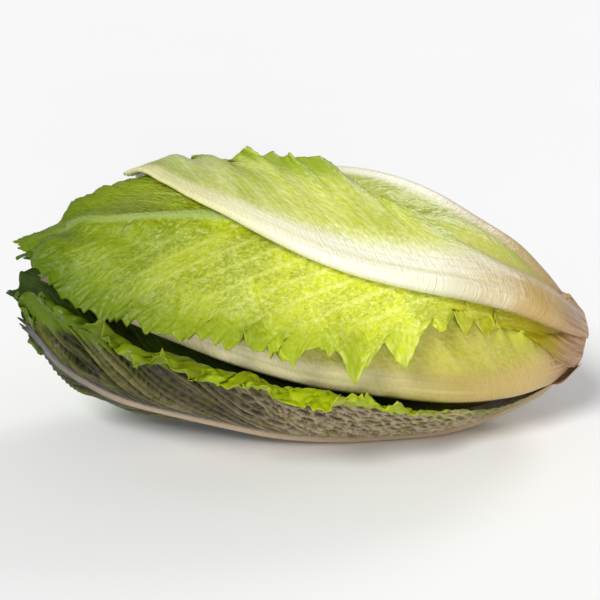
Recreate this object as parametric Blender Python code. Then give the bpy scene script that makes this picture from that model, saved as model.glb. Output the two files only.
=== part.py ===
"""A romaine lettuce head lying on its side: a short cut stem and the leaves that grow from it.

The head lies along X. Its cut base is at +X, its leaf tips at -X, and -Y is the side with the open folds.
Every place on the head is given by three numbers: t, the distance from the cut base along the head, an
azimuth round the head's axis (0 faces -Y, 90 faces up), and a radius. The leaves are wrapped from the heart
outwards: each lies at its own radius, or just over whatever is already there. The lowest leaf is pressed
flat where the head rests. Lengths are in millimetres and angles in degrees until the meshes are made,
which are in metres.
"""

import bpy
import numpy as np

MM = 0.001

# The head
BASE_X = 124.0  # the cut face's place on the X axis
AXIS_Y = 9.5  # the axis's place on the Y axis
HEAD_RADIUS = [(0, 12.0), (12, 22), (30, 34), (48, 43.5), (65, 51), (85, 56), (105, 59), (140, 60),
               (165, 57.5), (187, 51.5), (207, 43.5), (224, 33.5), (238, 23), (250, 17)]
AXIS_HEIGHT = [(0, 37.5), (15, 40.5), (30, 45), (50, 49), (65, 52), (85, 55), (105, 57.2), (150, 60.5),
               (200, 62), (250, 68)]

# The stem: radius along its length, from the cut face to the growing point
STEM = [(0, 7.5), (4, 8.4), (11, 8.6), (20, 7.4), (32, 5.4), (44, 3.6), (52, 1.8)]
STEM_SIDES = 16

# Leaf tissue
BLADE_THICKNESS = 0.9
CLEARANCE_AT_CUT = 0.8  # between one leaf and the next, where they meet the stem
CLEARANCE = 1.5  # the same, along the blades
CLEARANCE_FULL_AT = 34.0
FOLD_RADIUS = 1.7  # inside a blade folded along its rib
FOLD_OPENS_AT = 25.0  # the petiole below this isn't folded
KEEL_WIDTH = 2.8  # how far a folded leaf's rib reaches round into its tucked half
FOLD_ROOM_REACH = 14.0  # how far past its tucked half a folded leaf still makes room for it
CURL_RADIUS = 4.6  # of a margin that rolls outwards
CURL_VARIES = 0.25  # the share of the roll that comes and goes along the margin
CURL_WAVES = 0.85  # waves of the roll for each wave of the ruffle
VEIN_SWEEP = 1.5  # how far the side veins run towards the tip on their way to the margin
VEIN_BOW = 1.35  # how they bend on the way
BLADE_FROM = 0.04  # the fraction of a leaf's length where its petiole starts to widen
RUFFLE_POWER = 2.6  # how fast the ruffles grow towards the margin
RUFFLE_FULL_AT = 0.42  # the fraction of a leaf's length where they reach their full height
WAVE_DRIFT = 1.3  # how far the waves shift along the margin, in radians, so that they aren't even
WAVE_DRIFT_RATE = 5.0
RIB_RISES_BY = 0.16  # the fraction of the length where the midrib is thickest
RIB_SINKS_FROM = 0.10  # where it starts to thin out towards the tip
RIB_SPREAD = (1.05, 0.30)  # its width at the cut and at the tip, as a share of its own
TOOTH = 0.055  # how far a margin's teeth stand out and in, as a share of the half width
TEETH_FROM = (0.3, 0.5)  # the fractions of the length where teeth start and are full
COLUMN_SPREAD = 0.85  # under 1, a leaf's columns lie closer together near its margins
FLOOR_UNDER_INNER_LEAVES = 2.0  # how low any leaf but the lowest may reach
LEAST_RADIUS_AT_STEM = 7.0  # leaves don't wind round more tightly than this
LEAST_RADIUS_AT_TIP = 30.0
TIP_REGION = (150.0, 200.0)  # where the second of these takes over, along the head

# The lattice on which the wrapping is worked out
STEP_T = 2.5
STEP_DEG = 3.0
LATTICE_T = np.arange(-5.0, 270.1, STEP_T)
LATTICE_DEG = np.arange(0.0, 360.0, STEP_DEG)
PAST_MARGIN = 1.2  # how far past its margin, in half widths, a leaf's layer still follows its depth
SOFTNESS_AT_CUT = 0.3  # how gently a layer goes over from its own radius to what is below it
SOFTNESS = 1.0
FILL_STEPS = 10  # points along each edge of a leaf's grid where it fills the lattice


def leaf(name, base, tip, azimuth, up, down, depth, grid=(24, 5), **more):
    """One leaf's driving dimensions. up and down are its half widths towards rising and falling azimuth.

    depth has rows of t and the leaf's radius there, as a share of the head's, at its down margin, rib and
    up margin. rib has the midrib's thickness at the cut and at its thickest, and its width. petiole and point
    are the half widths at the two ends as a share of the widest, which runs from the fraction widest of the
    length to the fraction closing. A margin with a curl rolls outwards past the share curl_from of the
    width. Each of the bays is a hollow in the margin on one side, 1 for up and -1 for down, with its place,
    half length and depth as shares; a depth below 0 makes it a lobe."""
    made = {
        "name": name,
        "base": base,
        "tip": tip,
        "azimuth": azimuth,
        "up": up,
        "down": down,
        "depth": depth,
        "grid": grid,
        "folded": False,
        "rib": (1.2, 4.4, 8.5),
        "petiole": 0.15,
        "widest": 0.52,
        "closing": 0.62,
        "point": 0.05,
        "bays": (),
        "ruffle_up": 0.7,
        "ruffle_down": 0.7,
        "ruffle_from": 0.16,
        "curl_up": 0.0,
        "curl_down": 0.0,
        "curl_from": 0.80,
        "waves": 6.0,
        "phase": 0.0,
        "roundness": 0.5,
        "spread": 1,
        "floor": FLOOR_UNDER_INNER_LEAVES,
        "color": (0.42, 0.58, 0.10),
    }
    made.update(more)
    return made


def ring(name, first, bases, tips, widths, depths, **more):
    """Leaves set round the stem, each a turn of 137.5 degrees from the one before."""
    return [
        leaf(f"{name}_{n + 1}", base, tip, [(0, (first + 137.5 * n) % 360)], width, width,
             [(0, depth, depth, depth)], phase=1.7 * n, spread=2, **more)
        for n, (base, tip, width, depth) in enumerate(zip(bases, tips, widths, depths))
    ]


HEART = ring(
    "heart_leaf", 20.0, (38, 34, 30, 26, 22), (168, 178, 188, 196, 203), (13, 17, 21, 26, 30),
    (0.13, 0.19, 0.25, 0.31, 0.37),
    grid=(12, 4), rib=(1.4, 2.2, 5.0), waves=4.0, ruffle_up=1.5, ruffle_down=1.5, color=(0.62, 0.66, 0.16),
)
INNER = ring(
    "inner_leaf", 76.0, (22, 20, 18, 16, 14), (214, 222, 217, 224, 230), (36, 38, 40, 42, 42),
    (0.43, 0.48, 0.53, 0.57, 0.61),
    grid=(14, 4), rib=(1.8, 3.0, 6.5), waves=5.0, ruffle_up=1.1, ruffle_down=1.1, color=(0.50, 0.62, 0.12),
)
OUTER = [
    leaf(
        "bottom_inner_leaf", 8, 247,
        azimuth=[(0, -100), (30, -80), (80, -62), (180, -44), (247, -8)],
        up=54, down=50,
        depth=[(0, 0.75, 0.75, 0.75), (60, 0.80, 0.80, 0.74), (200, 0.84, 0.80, 0.70), (247, 0.9, 0.8, 0.7)],
        grid=(22, 4), waves=8.0, ruffle_up=1.6, color=(0.16, 0.26, 0.06),
    ),
    leaf(
        "front_lower_leaf", 0, 231,
        azimuth=[(0, -48), (20, -40), (38, -34), (80, -26), (122, -21), (164, -9), (200, 6), (231, 21)],
        up=54, down=24,
        depth=[(0, 0.9, 0.9, 0.9), (40, 0.94, 0.94, 0.84), (100, 0.90, 0.90, 0.76), (170, 0.84, 0.84, 0.72),
               (231, 0.80, 0.80, 0.72)],
        folded=True, petiole=0.40, widest=0.42, rib=(1.8, 4.8, 10.0),
        grid=(26, 5), waves=8.0, ruffle_up=1.6, ruffle_from=0.05, color=(0.62, 0.66, 0.28),
    ),
    leaf(
        "back_lower_leaf", 0, 240,
        azimuth=[(0, 208), (240, 222)],
        up=54, down=54,
        depth=[(0, 0.9, 0.9, 0.9), (50, 0.84, 0.90, 0.86), (240, 0.86, 0.90, 0.86)],
        phase=2.0,
    ),
    leaf(
        "back_upper_leaf", 0, 236,
        azimuth=[(0, 155), (240, 166)],
        up=54, down=54,
        depth=[(0, 0.95, 0.95, 0.95), (50, 0.84, 0.94, 1.0), (160, 0.80, 0.92, 1.0), (236, 0.74, 0.92, 1.0)],
        ruffle_up=2.0, phase=4.0,
    ),
    leaf(
        "upper_back_leaf", 0, 226,
        azimuth=[(0, 118), (25, 110), (60, 104), (120, 104), (226, 112)],
        up=54, down=46,
        depth=[(0, 0.95, 0.95, 0.95), (50, 0.80, 0.90, 0.96), (90, 0.76, 0.93, 1.0), (140, 0.74, 0.86, 1.0),
               (180, 0.72, 0.80, 0.95), (226, 0.66, 0.68, 0.80)],
        petiole=0.22, widest=0.46,
        ruffle_up=2.2, ruffle_down=0.1, phase=1.1, color=(0.64, 0.70, 0.36),
    ),
    leaf(
        "front_broad_leaf", 0, 248,
        azimuth=[(0, 33), (20, 34), (43, 38), (62, 46), (120, 54), (168, 59), (206, 62), (226, 68),
                 (248, 66)],
        up=42, down=51,
        depth=[(0, 0.9, 0.9, 0.9), (50, 0.96, 0.86, 0.82), (120, 0.97, 0.82, 0.78), (190, 0.98, 0.82, 0.76),
               (220, 0.98, 0.84, 0.66), (248, 1.0, 1.0, 0.9)],
        petiole=0.13, widest=0.60, closing=0.67, roundness=0.85, point=0.28,
        bays=[(-1, 0.37, 0.075, -0.18), (-1, 0.82, 0.08, 0.10), (1, 0.36, 0.18, 0.5)],
        grid=(30, 6), waves=9.0, ruffle_up=0.2, ruffle_down=1.6, curl_down=50.0, phase=0.6,
        color=(0.50, 0.64, 0.06),
    ),
    leaf(
        "upper_front_leaf", 0, 201,
        azimuth=[(0, 30), (20, 32), (43, 33), (75, 31), (105, 34), (124, 39.5), (150, 53), (171, 71),
                 (188, 97), (201, 118)],
        up=60, down=22,
        depth=[(0, 0.95, 0.95, 0.95), (40, 1.0, 1.0, 1.0), (100, 0.97, 0.96, 0.90), (150, 1.0, 0.97, 0.90),
               (201, 0.88, 0.88, 0.88)],
        folded=True, petiole=0.30, widest=0.44, bays=[(1, 0.40, 0.125, 0.45), (1, 0.66, 0.10, 0.20)],
        rib=(1.6, 5.2, 11.0),
        grid=(26, 6), waves=7.0, ruffle_up=2.2, phase=2.4, color=(0.66, 0.72, 0.36),
    ),
    leaf(
        "bottom_leaf", 0, 246,
        azimuth=[(0, -100), (40, -80), (90, -70), (124, -64), (154, -58), (183, -54), (204, -47), (246, -37)],
        up=61, down=58,
        depth=[(0, 0.93, 0.93, 0.93), (40, 1.0, 1.0, 1.0), (90, 1.0, 1.0, 0.98), (130, 1.0, 1.0, 1.0),
               (180, 1.0, 1.0, 1.06), (210, 1.1, 1.12, 1.1), (228, 1.1, 1.2, 1.2), (246, 1.0, 1.1, 1.2)],
        widest=0.5, point=0.24, floor=0.0, curl_from=0.76,
        grid=(30, 6), waves=9.0, ruffle_up=2.4, ruffle_down=1.6, curl_up=125.0, phase=3.3,
        color=(0.40, 0.46, 0.16),
    ),
]
LEAVES = HEART + INNER + OUTER  # from the heart outwards


def through(points, x):
    """A smooth curve through (x, y) points, level beyond its ends."""
    px, py = np.array(points, float).T
    if len(px) == 1:
        return np.full(np.shape(x), py[0])
    slope = np.gradient(py, px)
    x = np.clip(x, px[0], px[-1])
    i = np.clip(np.searchsorted(px, x, side="right") - 1, 0, len(px) - 2)
    span = px[i + 1] - px[i]
    u = (x - px[i]) / span
    rise = (1 + 2 * u) * (1 - u) ** 2 * py[i] + u * u * (3 - 2 * u) * py[i + 1]
    return rise + span * (u * (1 - u) ** 2 * slope[i] - u * u * (1 - u) * slope[i + 1])


def ease(x, low, high):
    """0 below low and 1 above high, smooth between."""
    u = np.clip((x - low) / (high - low), 0, 1)
    return u * u * (3 - 2 * u)


def bend(u, start, radius, angle):
    """A strip of length u that runs flat to start, turns through angle on that radius, then runs straight.

    Returns how far along and how far up each point of the strip gets."""
    turn = np.radians(angle)
    arc = np.clip((u - start) / radius, 0, turn)
    past = np.maximum(u - start - radius * turn, 0)
    along = np.minimum(u, start) + radius * np.sin(arc) + past * np.cos(turn)
    return along, radius * (1 - np.cos(arc)) + past * np.sin(turn)


def half_width(one, fraction, upward):
    """A leaf's half width at a fraction of its length: petiole, blade, round tip."""
    blade = one["petiole"] + (1 - one["petiole"]) * ease(fraction, BLADE_FROM, one["widest"])
    ahead = np.clip((fraction - one["closing"]) / (1 - one["closing"]), 0, 1)
    share = np.maximum(blade * (1 - ahead**2) ** one["roundness"], one["point"])
    share = share * np.where(upward, one["up"], one["down"])
    for side, place, reach, depth in one["bays"]:
        hollow = depth * np.exp(-(((fraction - place) / reach) ** 2))
        share = share * np.where(upward == (side > 0), 1 - hollow, 1.0)
    return share


def depth_at(one, t, share):
    """The leaf's radius as a share of the head's: share is 0 at the rib, -1 and 1 at its margins."""
    down, rib, up = (through([(row[0], row[k]) for row in one["depth"]], t) for k in (1, 2, 3))
    return rib + np.where(share > 0, up - rib, down - rib) * share**2


def nominal_radius(one, t):
    """The radius that turns a distance across the blade into degrees of azimuth.

    It stays above a least value, so that no leaf winds round more than once near its tip or the stem."""
    least = np.maximum(LEAST_RADIUS_AT_TIP * ease(t, *TIP_REGION), LEAST_RADIUS_AT_STEM)
    return np.maximum(through(HEAD_RADIUS, t) * depth_at(one, t, 0.0 * t), least)


def margin_share(s):
    """How far along the leaf the vein that leaves the rib at s reaches the margin."""
    return 1 - (1 - s) ** VEIN_SWEEP


def sheet(one, s, v, teeth=0.0):
    """The leaf's middle surface before it is wrapped: t, azimuth and height above its layer.

    s runs from 0 at the base to 1 at the tip, along the rib. v runs from -1 to 1 across. A line of equal s
    follows a side vein, which sweeps towards the tip. teeth is the share by which the width grows there."""
    length = one["tip"] - one["base"]
    t = one["base"] + length * (s + (margin_share(s) - s) * np.abs(v) ** VEIN_BOW)
    upward = v >= 0
    width = half_width(one, margin_share(s), upward) * (1 + teeth)
    reach = np.abs(v) * width
    grown = ease(s, one["ruffle_from"], RUFFLE_FULL_AT)
    turns = 2 * np.pi * one["waves"] * s + one["phase"]
    curl = np.where(upward, one["curl_up"], one["curl_down"]) * grown * ease(1 - s, 0.02, 0.2)
    curl = curl * (1 - CURL_VARIES + CURL_VARIES * np.sin(CURL_WAVES * turns))
    across, height = bend(reach, width * one["curl_from"], CURL_RADIUS, curl)
    across = np.where(upward, across, -across)
    swing = np.sin(turns + WAVE_DRIFT * np.sin(WAVE_DRIFT_RATE * s + one["phase"]))
    ruffle = np.where(upward, one["ruffle_up"], one["ruffle_down"]) * grown
    height = height + ruffle * np.abs(v) ** RUFFLE_POWER * (1 + swing)
    if one["folded"]:
        tucked, below = bend(reach, 0.0, FOLD_RADIUS, 180.0)
        across = np.where(upward, across, -tucked)
        height = np.where(upward, height, -below)
    azimuth = through(one["azimuth"], t) + np.degrees(across / nominal_radius(one, t))
    return t, azimuth, height


def widened(field, steps):
    """The largest value within that many lattice steps, then blurred over the same distance."""
    for axis in (0, 1):
        shifted = [np.roll(field, k, axis=axis) for k in range(-steps, steps + 1)]
        field = np.max(shifted, axis=0)
    for axis in (0, 1):
        shifted = [np.roll(field, k, axis=axis) for k in range(-steps, steps + 1)]
        field = np.mean(shifted, axis=0)
    return field


def wrapped(one, filled):
    """The leaf's layer on the lattice: its own radius, or just over what is already there."""
    t = LATTICE_T[:, None] + 0 * LATTICE_DEG[None, :]
    aside = np.mod(LATTICE_DEG[None, :] - through(one["azimuth"], t) + 180.0, 360.0) - 180.0
    along = np.clip((t - one["base"]) / (one["tip"] - one["base"]), 0, 1)
    across = np.radians(aside) * nominal_radius(one, t)
    share = across / half_width(one, along, aside > 0)
    wanted = through(HEAD_RADIUS, t) * depth_at(one, t, np.clip(share, -PAST_MARGIN, PAST_MARGIN))
    least = widened(filled, one["spread"]) + BLADE_THICKNESS / 2
    least = least + CLEARANCE_AT_CUT + (CLEARANCE - CLEARANCE_AT_CUT) * ease(t, 2.0, CLEARANCE_FULL_AT)
    if one["folded"]:
        tucked = half_width(one, along, False)
        under = 1 - ease(across, tucked, tucked + FOLD_ROOM_REACH)  # 1 over the tucked half
        least = least + 2 * FOLD_RADIUS * ease(t, 0.0, FOLD_OPENS_AT) * under
    soft = SOFTNESS_AT_CUT + (SOFTNESS - SOFTNESS_AT_CUT) * ease(t, 2.0, CLEARANCE_FULL_AT)
    return (wanted + least + np.sqrt((wanted - least) ** 2 + soft**2)) / 2


def on_lattice(layer, t, azimuth):
    """The layer's radius at any place, between the lattice's points."""
    row = np.clip((t - LATTICE_T[0]) / STEP_T, 0, len(LATTICE_T) - 1.001)
    column = np.mod(azimuth, 360.0) / STEP_DEG
    i, j = row.astype(int), column.astype(int) % len(LATTICE_DEG)
    a, b = row - i, column - np.floor(column)
    right = (j + 1) % len(LATTICE_DEG)
    near = layer[i, j] * (1 - b) + layer[i, right] * b
    far = layer[i + 1, j] * (1 - b) + layer[i + 1, right] * b
    return near * (1 - a) + far * a


def placed(t, azimuth, radius):
    """Head coordinates to X, Y and Z."""
    turn = np.radians(azimuth)
    y = AXIS_Y - radius * np.cos(turn)
    return np.stack([BASE_X - t, y, through(AXIS_HEIGHT, t) + radius * np.sin(turn)], axis=-1)


def unplaced(points):
    """X, Y and Z back to t, azimuth and radius."""
    t = BASE_X - points[..., 0]
    y, z = points[..., 1] - AXIS_Y, points[..., 2] - through(AXIS_HEIGHT, t)
    return t, np.degrees(np.arctan2(z, -y)), np.hypot(y, z)


def faces_of(one, layer, s, v, teeth=0.0):
    """The leaf's outer and inner face as grids of points. The outer face carries the rib."""
    t, azimuth, height = sheet(one, s, v, teeth)
    if one["folded"]:
        height = height * ease(t, 0.0, FOLD_OPENS_AT)
    middle = placed(t, azimuth, on_lattice(layer, t, azimuth) + height)
    normal = np.cross(np.gradient(middle, axis=1), np.gradient(middle, axis=0))
    normal /= np.maximum(np.linalg.norm(normal, axis=-1, keepdims=True), 1e-9)
    at_cut, thickest, rib_width = one["rib"]
    swell = at_cut + (thickest - at_cut) * ease(s, 0.0, RIB_RISES_BY)
    swell = swell * (1 - ease(s, RIB_SINKS_FROM, 1.0))
    first, last = RIB_SPREAD
    spread = np.where((v < 0) & one["folded"], KEEL_WIDTH, rib_width * (first + (last - first) * s))
    bell = np.exp(-((np.abs(v) * half_width(one, margin_share(s), v >= 0) / spread) ** 2))
    outer = middle + normal * (BLADE_THICKNESS / 2 + swell * bell)[..., None]
    inner = middle - normal * (BLADE_THICKNESS / 2)
    for face, lowest in ((outer, one["floor"]), (inner, one["floor"] + BLADE_THICKNESS)):
        face[..., 0] = np.minimum(face[..., 0], BASE_X)
        face[..., 2] = np.maximum(face[..., 2], lowest)
    return outer, inner


def leaf_grid(one):
    """s, v and the teeth on a leaf's grid: every other point of its margin stands out."""
    rows, half = one["grid"]
    side = (np.arange(half + 1) / half) ** COLUMN_SPREAD
    s, v = np.meshgrid(np.linspace(0, 1, rows + 1), np.concatenate([-side[:0:-1], side]), indexing="ij")
    tooth = np.where(np.arange(rows + 1) % 2 == 0, TOOTH, -TOOTH)[:, None]
    return s, v, tooth * ease(s, *TEETH_FROM) * (np.abs(v) == 1)


def subdivided(grid, times):
    """A grid of points with that many steps along each of its edges."""
    for axis in (0, 1):
        count = (grid.shape[axis] - 1) * times
        place = np.arange(count + 1) / times
        i = np.minimum(place.astype(int), grid.shape[axis] - 2)
        share = (place - i).reshape((-1, 1, 1) if axis == 0 else (1, -1, 1))
        grid = np.take(grid, i, axis=axis) * (1 - share) + np.take(grid, i + 1, axis=axis) * share
    return grid


def wrap_all():
    """Each leaf's layer, from the heart outwards."""
    t = LATTICE_T[:, None] + 0 * LATTICE_DEG[None, :]
    filled = np.where(t <= STEM[-1][0] + 2, through(STEM, t), 0.5)
    layers = {}
    for one in LEAVES:
        layers[one["name"]] = wrapped(one, filled)
        outer, _ = faces_of(one, layers[one["name"]], *leaf_grid(one))
        at, azimuth, radius = unplaced(subdivided(outer, FILL_STEPS))
        row = np.clip(np.round((at - LATTICE_T[0]) / STEP_T).astype(int), 0, len(LATTICE_T) - 1)
        column = np.round(np.mod(azimuth, 360) / STEP_DEG).astype(int) % len(LATTICE_DEG)
        np.maximum.at(filled, (row, column), radius)
    return layers


def closed_sheet(outer, inner):
    """Points and triangles of the closed solid between two grids, both split along the same diagonals."""
    rows, columns = outer.shape[:2]
    points = np.concatenate([outer.reshape(-1, 3), inner.reshape(-1, 3)])
    number = np.arange(rows * columns).reshape(rows, columns)
    under = number + rows * columns
    triangles = []
    for i in range(rows - 1):
        for j in range(columns - 1):
            a, b, c, d = number[i, j], number[i + 1, j], number[i + 1, j + 1], number[i, j + 1]
            e, f, g, h = under[i, j], under[i + 1, j], under[i + 1, j + 1], under[i, j + 1]
            if (i + j) % 2:
                triangles += [(a, c, b), (a, d, c), (e, f, g), (e, g, h)]
            else:
                triangles += [(a, d, b), (b, d, c), (e, f, h), (f, g, h)]
    edge = [(i, 0) for i in range(rows)] + [(rows - 1, j) for j in range(1, columns)]
    edge += [(i, columns - 1) for i in range(rows - 2, -1, -1)] + [(0, j) for j in range(columns - 2, 0, -1)]
    for (i, j), (k, m) in zip(edge, edge[1:] + edge[:1]):
        triangles += [(number[i, j], number[k, m], under[k, m]), (number[i, j], under[k, m], under[i, j])]
    return points, triangles


def material_of(name, color):
    made = bpy.data.materials.new(name)
    made.use_nodes = True
    shader = made.node_tree.nodes["Principled BSDF"]
    shader.inputs["Base Color"].default_value = (*color, 1.0)
    shader.inputs["Roughness"].default_value = 0.4
    shader.inputs["Metallic"].default_value = 0.0
    return made


def add_object(name, points, triangles, color):
    mesh = bpy.data.meshes.new(name)
    mesh.from_pydata((np.asarray(points) * MM).tolist(), [], np.asarray(triangles).tolist())
    mesh.materials.append(material_of(name, color))
    mesh.update()
    mesh.shade_smooth()
    made = bpy.data.objects.new(name, mesh)
    bpy.context.scene.collection.objects.link(made)
    return made


def add_leaf(one, layer):
    outer, inner = faces_of(one, layer, *leaf_grid(one))
    add_object(one["name"], *closed_sheet(outer, inner), one["color"])


def add_stem():
    """The short stem inside the leaf bases, turned about the head's axis, with its cut face towards +X."""
    stations = np.array([t for t, _ in STEM], float)
    turn = np.linspace(0, 360, STEM_SIDES, endpoint=False)
    t, azimuth = np.meshgrid(stations, turn, indexing="ij")
    points = placed(t, azimuth, through(STEM, t)).reshape(-1, 3)
    ends = placed(stations[[0, -1]], np.zeros(2), np.zeros(2))
    points = np.concatenate([points, ends])
    first, last = len(points) - 2, len(points) - 1
    number = np.arange(len(stations) * STEM_SIDES).reshape(len(stations), STEM_SIDES)
    triangles = []
    for k in range(STEM_SIDES):
        n = (k + 1) % STEM_SIDES
        triangles.append((first, number[0, n], number[0, k]))
        triangles.append((last, number[-1, k], number[-1, n]))
        for i in range(len(stations) - 1):
            a, b, c, d = number[i, k], number[i + 1, k], number[i + 1, n], number[i, n]
            triangles += [(a, d, c), (a, c, b)]
    add_object("stem", points, triangles, (0.72, 0.62, 0.46))


def main():
    for old in list(bpy.data.objects):
        bpy.data.objects.remove(old)
    layers = wrap_all()
    add_stem()
    for one in LEAVES:
        add_leaf(one, layers[one["name"]])


main()
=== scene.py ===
"""The looks of a romaine lettuce head lying on its side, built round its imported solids.

Each leaf's plain solid is replaced by a fine one that lies in the same layer of the head. The layers are
worked out as they were for the solids: every leaf is wrapped over the ones below it, on a lattice of t, the
distance from the cut base, and azimuth round the head's axis (0 faces -Y, 90 faces up). The fine leaves add
teeth, frills, flaps, side veins and the net of small veins with its blisters. Their finish is mottled, with
wrinkled ribs and browned bases. Lengths are in millimetres and angles in degrees until the meshes are made,
which are in metres.
"""

import math

import bpy
import numpy as np
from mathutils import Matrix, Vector


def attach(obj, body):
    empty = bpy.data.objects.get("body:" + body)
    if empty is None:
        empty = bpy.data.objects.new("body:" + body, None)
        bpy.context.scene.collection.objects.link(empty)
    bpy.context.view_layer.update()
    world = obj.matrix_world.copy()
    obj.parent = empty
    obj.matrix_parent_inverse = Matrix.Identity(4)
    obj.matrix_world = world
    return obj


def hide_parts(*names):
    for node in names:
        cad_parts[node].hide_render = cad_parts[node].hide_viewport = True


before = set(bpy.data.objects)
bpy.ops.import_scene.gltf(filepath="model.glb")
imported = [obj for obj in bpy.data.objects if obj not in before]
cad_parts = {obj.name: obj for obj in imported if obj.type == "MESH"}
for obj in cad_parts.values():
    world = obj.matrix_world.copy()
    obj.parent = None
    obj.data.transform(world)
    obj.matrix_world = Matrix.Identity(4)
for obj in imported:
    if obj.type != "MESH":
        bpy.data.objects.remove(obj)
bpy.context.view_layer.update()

MM = 0.001

# The head, as in the solids' own source
BASE_X = 124.0  # the cut face's place on the X axis
AXIS_Y = 9.5  # the axis's place on the Y axis
HEAD_RADIUS = [(0, 12.0), (12, 22), (30, 34), (48, 43.5), (65, 51), (85, 56), (105, 59), (140, 60),
               (165, 57.5), (187, 51.5), (207, 43.5), (224, 33.5), (238, 23), (250, 17)]
AXIS_HEIGHT = [(0, 37.5), (15, 40.5), (30, 45), (50, 49), (65, 52), (85, 55), (105, 57.2), (150, 60.5),
               (200, 62), (250, 68)]
STEM = [(0, 7.5), (4, 8.4), (11, 8.6), (20, 7.4), (32, 5.4), (44, 3.6), (52, 1.8)]
SOLID_THICKNESS = 0.9
CLEARANCE_AT_CUT = 0.8
CLEARANCE = 1.5
CLEARANCE_FROM = 2.0
CLEARANCE_FULL_AT = 34.0
FOLD_RADIUS = 1.7
FOLD_OPENS_AT = 25.0
KEEL_WIDTH = 2.8
FOLD_ROOM_REACH = 14.0
CURL_RADIUS = 4.6
CURL_VARIES = 0.25
CURL_WAVES = 0.85
CURL_ENDS = (0.02, 0.2)
VEIN_SWEEP = 1.5
VEIN_BOW = 1.35
BLADE_FROM = 0.04
RUFFLE_POWER = 2.6
RUFFLE_FULL_AT = 0.42
WAVE_DRIFT = 1.3
WAVE_DRIFT_RATE = 5.0
RIB_RISES_BY = 0.16
RIB_SINKS_FROM = 0.10
RIB_SPREAD = (1.05, 0.30)
TOOTH = 0.055
TEETH_FROM = (0.3, 0.5)
COLUMN_SPREAD = 0.85
FLOOR_UNDER_INNER_LEAVES = 2.0
LEAST_RADIUS_AT_STEM = 7.0
LEAST_RADIUS_AT_TIP = 30.0
TIP_REGION = (150.0, 200.0)
STEP_T = 2.5
STEP_DEG = 3.0
LATTICE_T = np.arange(-5.0, 270.1, STEP_T)
LATTICE_DEG = np.arange(0.0, 360.0, STEP_DEG)
LAST_ROW = len(LATTICE_T) - 1.001  # just inside the lattice's last row
EMPTY_RADIUS = 0.5
SHORTEST = 1e-9  # keeps a normal of no length from being divided by 0
PAST_MARGIN = 1.2
SOFTNESS_AT_CUT = 0.3
SOFTNESS = 1.0
FILL_STEPS = 10

# The fine leaves
HEAD_LENGTH = 250.0
FINE_THICKNESS = 0.55
FINE_FOLD_RADIUS = 0.8  # the fine leaves are folded more tightly than the solids
FOLD_SETTLES = 2.2  # how far the outer half then comes down towards the leaf below
GROOVE_DEPTH = 0.12  # as a share of the rib's swell
EDGE_LEAST = 0.2  # how much of its edge's colour a margin without frills shows

# The cut end
CUT_TILT = 0.17  # the cut face leans: its lower side lies this much further in for each millimetre down
CUT_TOP = 45.0  # height where the cut face is at BASE_X
CUT_REACH = 26.0  # the lean fades out over this length
BUTT_TAPER = 0.34  # how much narrower the leaf bases get at the cut
BUTT_LENGTH = 16.0
BUTT_RIDGE = 0.7  # how far the leaf bases' ridges stand out there
BUTT_SEED = 77

# The margins. A noise is given by its amount, the length of its features, its row and its seed, and a row of
# peaks by the power of their shape, their least height, how much that varies, their row and their seed.
LOBE_SPACING = 15.0
LOBE_WANDER = (0.7, 25.0, 3.7, 0)
LOBE_PEAKS = (1.5, 0.2, 1.0, 4, 4)
TOOTH_SPACING = 4.6
TOOTH_WANDER = (0.6, 8.0, 5.1, 1)
TOOTH_PEAKS = (1.3, 0.25, 0.9, 9, 2)
TOOTH_JAGS = (0.25, 1.3, 2.3, 3)
TOOTH_MIDDLE = 0.45
TEETH_POWER = 5  # of v, with which the teeth fade into the blade
SPIKE_JAGS = (0.16, 1.9, 3.3, 8)
SPIKE_POINT = 0.3  # the jags start over this share of a spike, so that its point is smooth
FRILL_WANDER = (2.5, 19.0, 4.4, 5)
FRILL_SWELL = 0.65
FRILL_SWELL_VARIES = (0.5, 16.0, 8.8, 7)
SMALL_FRILL_SPACING = 4.7
SMALL_FRILL_WANDER = (3.0, 9.0, 6.6, 6)
FLAP_SOFTNESS = 0.45
EXPONENT_LIMIT = 30
FINGER_WIDTH = 3.2
FINGER_WANDER = (0.4, 1.0, 0.3, 20)
FINGER_WANDERS = 5.0  # how many features of that noise lie between the rib and a margin
FINGER_PEAKS = (0.5, 0.35, 0.9, 0, 21)
TIP_ROUND = 0.9

# The veins. A noise is given by its amount, the size of its features one way and the other, and its seed.
VEIN_WANDER = (1.6, 14.0, 21.0, 10)
VEIN_STAGGER = 0.3  # how far the two sides' veins are shifted, as a share of their spacing
VEIN_SINKS = 0.55
SIDES_APART = 50  # keeps the noise of the two sides apart
CELLS_APART = 40  # and their cells
NET_TEAR_ALONG = (0.9, 3.0, 4.0, 11)
NET_TEAR_ACROSS = (1.5, 5.0, 5.0, 12)
NET_SEEDS = (13, 15)
NET_AT_BASE = 0.6
TINY_CELLS = 2.3  # how many of the tiniest veins' cells lie along one of the net's
TINY_RIDGE = 0.4
TINY_SHOWN = 0.2
BLISTERS = 0.5  # how much the cells' heights differ, as a share of the net's
FOLD_SPACING = 8.0  # the drawn folds of a curtain
FOLD_WANDER = (4.5, 15.0, 40.0, 16)
FOLD_LEAN = 0.6
FOLD_DEPTH = 0.75
FOLD_DEPTH_VARIES = (0.6, 9.0, 18.0, 17)
FOLDS_FLATTEN = 0.9  # how much of the net they take away
SEED_STEP = 31
FIRST_SEED = 7
CELL_SCATTER = 0.8
FURTHEST = 9.0  # further than any cell's middle

# The stem
STEM_TURNS = 96
STEM_RINGS = 26  # rings of points on the cut face, and rows along the side
STEM_ROWS = 30

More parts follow.
